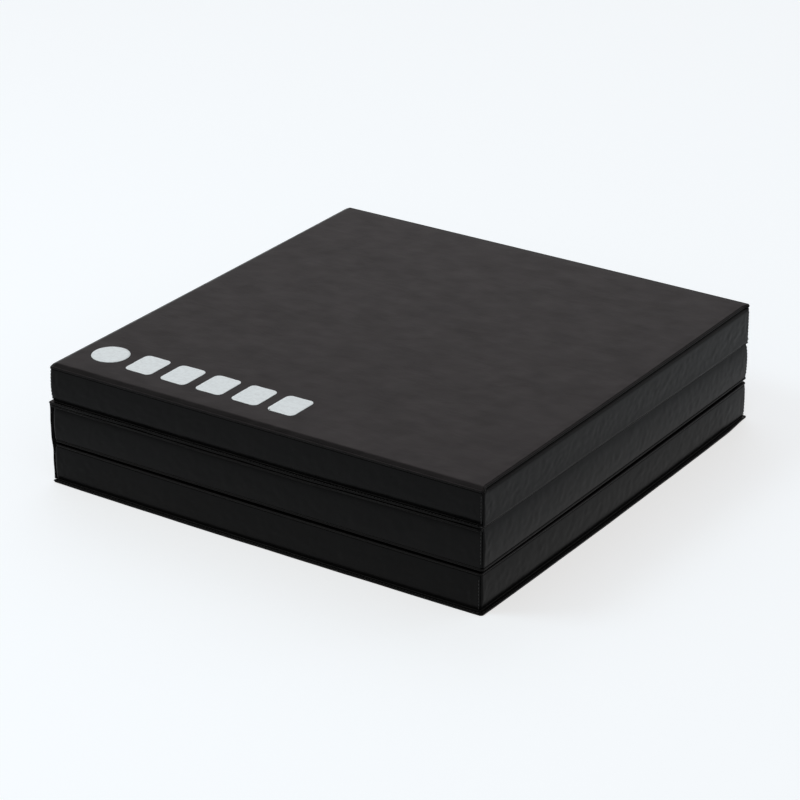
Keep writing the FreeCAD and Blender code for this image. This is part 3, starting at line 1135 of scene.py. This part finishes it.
@dataclass
class LeftHinge:
    """One sheet over the left ends of the lowest two panels, and the flanges at its two sides."""

    base: PanelCover
    middle: PanelCover
    # The hinge sheet wears the walls' darker copy of the vinyl: painted shade.
    vinyl: bpy.types.Material
    # Darker, matt finish of the flanges: painted shade of their recess.
    flange_painted_shade_finish: bpy.types.Material
    fabric: float = 0.9 * MM
    fold_height: float = 50.5 * MM
    bend: float = 6.0 * MM
    set_back: float = 0.3 * MM
    crease_depth: float = 0.45 * MM
    crease_width: float = 1.1 * MM
    turn_in: float = 1.2 * MM
    turn_in_height: float = 2.5 * MM
    most_ripple: float = 0.2 * MM
    flange_depth: float = 1.7 * MM
    flange_inset: float = 3.4 * MM
    flange_reach: tuple[float, float] = (4.6 * MM, 7.8 * MM)

    def wall(self) -> bpy.types.Object:
        """The sheet itself: level with the ends of the panels, with a shallow crease at its fold.

        Along the crease the wall is pulled in by a narrow bell curve. It turns in under its
        lower and upper edges.

        Returns:
            The piece.
        """
        line = self.base.outline
        start, end = line.span(Side.LEFT)
        place = start + (end - start) / 2 + graded(end - start, 14.0 * MM, 0.9 * MM, 6.0 * MM)
        low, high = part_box("left_hinge_sheet")
        bent = np.arange(self.fold_height - self.bend - MM,
                         self.fold_height + self.bend + 1.5 * MM, 0.7 * MM)
        below = np.linspace(low.z, bent[0], 14)[:-1]
        above = np.linspace(bent[-1], high.z, 14)[1:]
        z = np.concatenate([below, bent, above])[:, None]
        point, normal = line.at(place)
        crease = self.crease_depth * np.exp(-((z - self.fold_height) / self.crease_width) ** 2)
        edge = np.minimum(z - low.z, high.z - z)
        turned_in = self.turn_in * (1 - smooth_step(edge / self.turn_in_height))
        cloth = SewnCloth(end - start, high.z - low.z, 7.0 * MM, 0.004, 0.004, cap=0.25 * MM, seed=31,
                          frames=16)
        ripple = sampled(cloth.ripples(), (place - start)[None, :] / (end - start),
                         (z - low.z) / (high.z - low.z))
        out = -self.set_back - crease - turned_in + np.minimum(ripple, self.most_ripple)
        plan = point[None] + normal[None] * out[..., None]
        surface = np.concatenate([plan, np.broadcast_to(z, out.shape)[..., None]], axis=-1)
        piece = closed_sheet("left_hinge_cover", surface, self.fabric, self.vinyl, (-1.0, 0.0, 0.0))
        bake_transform(piece)
        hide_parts("left_hinge_sheet")
        return piece

    def flange(self, panel: PanelCover, low: float, high: float) -> bpy.types.Object:
        """The two upright seam flanges of one panel, near and far, as one piece.

        Each is a rounded strip: its section is half a blunt superellipse on a straight root,
        and its edge sways a little with height.

        Args:
            panel: the panel that the flanges move with.
            low: height of their lower ends.
            high: height of their upper ends.

        Returns:
            The piece, set on the panel's body.
        """
        line = self.base.outline
        z = np.linspace(low, high, 28)
        turn = np.linspace(-math.pi / 2, math.pi / 2, 13)
        points, faces, count = [], [], 0
        for sign, y_edge in ((-1.0, line.near), (1.0, line.far)):
            sway = 0.5 * MM * np.sin(95.0 * z + 1.3 * sign) + 0.3 * MM * np.sin(230.0 * z + sign)
            reach = np.interp(z, (0.0, 0.1), self.flange_reach) + 0.25 * MM * np.sin(140.0 * z + sign)
            root_x = line.left + 0.5 * MM
            centre_y = y_edge - sign * self.flange_inset
            across = np.sign(np.cos(turn)) * np.abs(np.cos(turn)) ** 0.4
            x = root_x - reach[:, None] * across[None, :]
            y = centre_y + 0.5 * self.flange_depth * np.sin(turn)[None, :] + sway[:, None] * across[None, :]
            grid = np.stack([x, y, np.broadcast_to(z[:, None], x.shape)], axis=-1)
            points.append(grid.reshape(-1, 3))
            faces.append(grid_faces(len(z), len(turn), start=count, wrap=True))
            ends = np.arange(len(turn))
            faces.append((ends + count)[None, :])
            faces.append((ends + count + (len(z) - 1) * len(turn))[None, ::-1])
            count += grid.shape[0] * grid.shape[1]
        # The flanges wear the darker, matt flange finish: painted shade of the recess behind the corner.
        piece = mesh_object(f"{panel.name}_left_flange", np.concatenate(points), faces, self.flange_painted_shade_finish)
        weld(piece, 0.001 * MM)
        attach(piece, panel.body)
        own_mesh(piece)
        return piece

    def build(self) -> None:
        """Make the sheet and the flanges."""
        low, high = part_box("left_hinge_sheet")
        self.wall()
        self.flange(self.base, low.z, self.fold_height - 0.2 * MM)
        self.flange(self.middle, self.fold_height + 0.2 * MM, high.z)


@dataclass
class RightFold:
    """Where the back sheets of the upper two panels run into each other round a tight bend."""

    middle: PanelCover
    top: PanelCover
    back_vinyl: bpy.types.Material
    fabric: float = 1.0 * MM
    tail: float = 3.0 * MM
    recess: float = 3.2 * MM
    end_recess: float = 1.8 * MM
    end_width: float = 12.0 * MM
    turns: int = 14

    def bead(self) -> bpy.types.Object:
        """The bend: a U of sheet whose nose lies back from the walls and wanders along its length.

        Its section runs along one back sheet, round a half circle, and back along the other.

        Returns:
            The piece.
        """
        low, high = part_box("right_hinge_fold")
        centre_z = (low.z + high.z) / 2
        radius = (high.z - low.z) / 2
        y = graded(high.y - low.y, 12.0 * MM, 1.5 * MM, 3.0 * MM)[:, None] + (high.y + low.y) / 2
        nose = (high.x - radius - self.recess + 0.35 * MM * np.sin(23.0 * y + 1.0)
                + 0.25 * MM * np.sin(61.0 * y))
        nose = nose - self.end_recess * (1 - smooth_step((high.y - np.abs(y)) / self.end_width))
        angle = np.linspace(-math.pi / 2, math.pi / 2, self.turns + 1)[None, :]
        lean = 0.25 * MM * np.sin(31.0 * y + 2.0) * np.cos(angle)
        curve_x = nose + radius * np.cos(angle)
        curve_z = centre_z + radius * np.sin(angle) + lean
        tails = np.linspace(self.tail, 0.0, 4)[None, :-1]
        x = np.concatenate([nose - tails, curve_x, (nose - tails)[:, ::-1]], axis=1)
        tail_shape = (len(y), tails.shape[1])
        z = np.concatenate([np.broadcast_to(centre_z - radius, tail_shape), curve_z,
                            np.broadcast_to(centre_z + radius, tail_shape)], axis=1)
        share = (y - self.top.outline.near) / (self.top.outline.far - self.top.outline.near)
        x = x + self.top.swayed(Side.RIGHT, share)
        z = z + self.top.risen(np.stack([x, np.broadcast_to(y, x.shape)], axis=-1), 0.0 * x)
        surface = np.stack([x, np.broadcast_to(y, x.shape), z], axis=-1)
        piece = closed_sheet("right_hinge_bead", surface, self.fabric, self.back_vinyl, (1.0, 0.0, 0.0))
        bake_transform(piece)
        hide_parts("right_hinge_fold")
        return piece


# ---------------------------------------------------------------- print


@dataclass
class PrintedMark:
    """Plain heat-pressed marking near the near edge of the top face: a disc and five blocks."""

    panel: PanelCover
    ink: bpy.types.Material
    disc: float = 46.0 * MM
    gap: float = 14.0 * MM
    blocks: int = 5
    block_width: float = 37.0 * MM
    block_radius: float = 7.0 * MM
    film: float = 0.15 * MM

    def build(self) -> bpy.types.Object:
        """Lay each shape on the face: a thin plate whose outline is a rounded rectangle."""
        low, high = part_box("top_printed_mark")
        shapes = [(low.x, low.x + self.disc, self.disc / 2)]
        first = low.x + self.disc + self.gap
        for index in range(self.blocks):
            left = first + index * (self.block_width + self.gap)
            shapes.append((left, left + self.block_width, self.block_radius))
        points, faces, count = [], [], 0
        for left, right, radius in shapes:
            core, turned, reach = Tray(left + radius, right - radius, low.y + radius, high.y - radius,
                                       4.0 * MM, np.linspace(0.0, 1.0, 9)[1:]).grid()
            plan = core + turned * (radius * reach)[..., None]
            height = self.panel.thickness + self.panel.face_height(plan)
            upper = self.panel.world(plan, height + self.film)
            lower = self.panel.world(plan, height - self.film)
            rows, columns = upper.shape[:2]
            size = rows * columns
            front = grid_faces(rows, columns)
            faces += [front + count, front[:, ::-1] + size + count, rim_band(rows, columns) + count]
            points += [upper.reshape(-1, 3), lower.reshape(-1, 3)]
            count += 2 * size
        piece = mesh_object("top_print", np.concatenate(points), faces, self.ink)
        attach(piece, self.panel.body)
        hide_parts("top_printed_mark")
        return piece


# ---------------------------------------------------------------- studio


@dataclass
class Studio:
    """Pale floor and backdrop, soft light, and the camera."""

    azimuth: float = 33.552
    elevation: float = 24.814
    distance: float = 3.791
    lens: float = 141.96
    target: tuple[float, float, float] = (0.005455, -0.023221, 0.075)
    floor_size: float = 60.0
    horizon: float = 0.56
    zenith: float = 0.42
    window: tuple[float, float, float] = (-0.434, 0.657, 0.616)
    window_glow: float = 1.22
    window_edge: float = 0.90
    window_tint: tuple[float, float, float, float] = (1.07, 0.94, 0.97, 1.0)
    sky_band: tuple[float, float] = (0.3, 0.8)

    def floor(self) -> None:
        """A wide level floor just under the mat."""
        half = self.floor_size / 2
        corners = np.array([[-half, -half, 0.0], [half, -half, 0.0], [half, half, 0.0], [-half, half, 0.0]])
        ground = mesh_object("floor", corners, [np.array([[0, 1, 2, 3]])], Floor().material(), smooth=False)

    def world(self) -> None:
        """Even light from all round, and a brighter, warmer window low behind on the left."""
        world = bpy.data.worlds.new("studio")
        bpy.context.scene.world = world
        world.use_nodes = True
        tree = world.node_tree
        background = tree.nodes["Background"]
        place = tree.nodes.new("ShaderNodeTexCoord")
        split = tree.nodes.new("ShaderNodeSeparateXYZ")
        tree.links.new(place.outputs["Generated"], split.inputs["Vector"])
        toward = tree.nodes.new("ShaderNodeVectorMath")
        toward.operation = "DOT_PRODUCT"
        toward.inputs[1].default_value = self.window
        tree.links.new(place.outputs["Generated"], toward.inputs[0])
        tint = tree.nodes.new("ShaderNodeMix")
        tint.data_type = "RGBA"
        tint.inputs["A"].default_value = (1.0, 1.0, 1.0, 1.0)
        tint.inputs["B"].default_value = self.window_tint
        inside = remap(tree, toward.outputs["Value"], self.window_edge, 1.0, 0.0, 1.0)
        tree.links.new(inside, tint.inputs["Factor"])
        tree.links.new(tint.outputs["Result"], background.inputs["Color"])
        level = tree.nodes.new("ShaderNodeMath")
        level.operation = "MULTIPLY_ADD"
        level.inputs[1].default_value = self.window_glow
        tree.links.new(inside, level.inputs[0])
        tree.links.new(remap(tree, split.outputs["Z"], *self.sky_band, self.horizon, self.zenith),
                       level.inputs[2])
        tree.links.new(level.outputs["Value"], background.inputs["Strength"])

    def area_light(self, name: str, place: tuple[float, float, float], size: float, power: float,
                   aim: tuple[float, float, float] = (0.0, 0.0, 0.1)) -> None:
        """A square soft light that looks at a point."""
        light = bpy.data.lights.new(name, "AREA")
        light.size = size
        light.energy = power
        lamp = bpy.data.objects.new(name, light)
        lamp.location = place
        lamp.rotation_euler = (Vector(aim) - Vector(place)).to_track_quat("-Z", "Y").to_euler()
        bpy.context.scene.collection.objects.link(lamp)

    def camera(self) -> None:
        """A long lens from the near right, above."""
        azimuth, elevation = math.radians(self.azimuth), math.radians(self.elevation)
        away = Vector((math.sin(azimuth) * math.cos(elevation), -math.cos(azimuth) * math.cos(elevation),
                       math.sin(elevation)))
        data = bpy.data.cameras.new("camera")
        data.sensor_width = 36.0
        data.lens = self.lens
        data.clip_end = 200.0
        camera = bpy.data.objects.new("camera", data)
        camera.location = Vector(self.target) + away * self.distance
        camera.rotation_euler = (-away).to_track_quat("-Z", "Y").to_euler()
        bpy.context.scene.collection.objects.link(camera)
        bpy.context.scene.camera = camera

    def build(self) -> None:
        """Set the stage."""
        self.floor()
        self.world()
        self.area_light("front_softbox", (-1.5, -1.26, 2.3), 0.9, 16.0)
        self.area_light("right_softbox", (1.75, 2.05, 0.95), 0.7, 2.6)
        self.camera()
        bpy.context.scene.view_settings.view_transform = "Standard"


def main() -> None:
    """Build every sub-assembly in order."""
    logging.basicConfig(level=logging.INFO, format="%(name)s: %(message)s")
    Studio().build()
    vinyl = CoatedFabric("black_vinyl", (0.0028, 0.0026, 0.0026, 1.0), (0.0042, 0.0039, 0.0039, 1.0),
                         (0.32, 0.42), grain=0.12, crease=0.15, fold=0.18).material()
    # The walls' vinyl is a darker, less glossy copy of the face vinyl: painted shade on the sides of the
    # stack.
    wall_vinyl_painted_shade = CoatedFabric("black_vinyl_painted_wall_shade", (0.0024, 0.0024, 0.0024, 1.0),
                              (0.0033, 0.0032, 0.0032, 1.0), (0.31, 0.37), grain=0.05, crease=0.0,
                              fold=0.02, specular=0.065).material()
    back_vinyl = CoatedFabric("black_back_vinyl", (0.0042, 0.0041, 0.0041, 1.0),
                              (0.0062, 0.0060, 0.0060, 1.0), (0.34, 0.46), grain=0.2, crease=0.12,
                              fold=0.2).material()
    thread, foam, ink = Thread().material(), Foam().material(), Ink().material()
    finishes = (vinyl, wall_vinyl_painted_shade, back_vinyl, thread, foam)
    lip, rise = Seams().lip, 3.4 * MM
    inner_seams = Seams(face_drop=3.0 * MM, near_turn=1.5 * MM, end_turn=1.7 * MM, tuck=1.1 * MM,
                        welt=0.65 * MM, notch=0.1 * MM)
    base = PanelCover(
        "base", "base_panel", Facing.UP,
        {Side.NEAR: lip, Side.FAR: 4.0 * MM, Side.RIGHT: lip, Side.LEFT: 0.2 * MM},
        {Side.NEAR: GussetStyle(seed=11, shear=0.05, slack=0.016, cap=1.2 * MM, pull=0.9 * MM,
                                pull_width=2.2 * MM),
         Side.RIGHT: GussetStyle(seed=12, pull=1.3 * MM, pull_width=2.6 * MM),
         Side.FAR: GussetStyle(seed=13)},
        *finishes, seams=inner_seams, lip_taper=0.6,
        sway={Side.NEAR: (0.0, 2.2 * MM, 0.0), Side.RIGHT: (-1.6 * MM, 2.2 * MM, 1.2 * MM)}, seed=1)
    middle = PanelCover(
        "middle", "middle_panel", Facing.DOWN,
        {Side.NEAR: 3.6 * MM, Side.FAR: 4.0 * MM, Side.RIGHT: -1.5 * MM, Side.LEFT: 0.2 * MM},
        {Side.NEAR: GussetStyle(seed=21, shear=0.06, slack=0.022, cap=1.5 * MM),
         Side.RIGHT: GussetStyle(seed=22, hemmed=False, pull=1.2 * MM, pull_width=4.5 * MM),
         Side.FAR: GussetStyle(seed=23)},
        *finishes, seams=inner_seams, rise=rise,
        sway={Side.NEAR: (0.0, 1.0 * MM, 0.0), Side.FAR: (0.0, 2.0 * MM, 3.0 * MM),
              Side.RIGHT: (0.3 * MM, 1.2 * MM, 0.2 * MM)}, seed=2)
    top = PanelCover(
        "top", "top_panel", Facing.UP,
        {Side.NEAR: 3.4 * MM, Side.FAR: 4.0 * MM, Side.LEFT: 1.2 * MM, Side.RIGHT: -1.5 * MM},
        {Side.NEAR: GussetStyle(seed=31),
         Side.RIGHT: GussetStyle(seed=32, hemmed=False, pull=-0.5 * MM, pull_width=4.0 * MM,
                                 bulge=0.3 * MM),
         Side.FAR: GussetStyle(seed=33), Side.LEFT: GussetStyle(seed=34)},
        *finishes, crown=0.4 * MM, edge_fall=0.3 * MM, rise=rise, end_roll=3.5 * MM,
        ramps={Side.NEAR: (2.4 * MM, 8.0 * MM), Side.RIGHT: (1.0 * MM, 2.6 * MM),
               Side.LEFT: (1.8 * MM, 5.0 * MM)},
        sway={Side.LEFT: (1.2 * MM, -2.0 * MM, -3.5 * MM), Side.NEAR: (0.6 * MM, 0.6 * MM, 0.0),
              Side.FAR: (1.0 * MM, 3.0 * MM, 3.5 * MM),
              Side.RIGHT: (0.3 * MM, 1.2 * MM, 0.2 * MM)}, seed=3)
    for panel in (base, middle, top):
        panel.build()
    # Flange finish: darker and less glossy than the wall vinyl, painted shade for the recess where the
    # flanges stand behind the corner seam.
    flange_painted_shade_finish = CoatedFabric("flange_painted_shade_vinyl", (0.0016, 0.0015, 0.0015, 1.0), (0.0024, 0.0023, 0.0023, 1.0),
                        (0.55, 0.65), grain=0.3, crease=0.0, fold=0.0, specular=0.02).material()
    LeftHinge(base, middle, wall_vinyl_painted_shade, flange_painted_shade_finish).build()
    RightFold(middle, top, back_vinyl).bead()
    PrintedMark(top, ink).build()


if __name__ == "__main__":
    main()
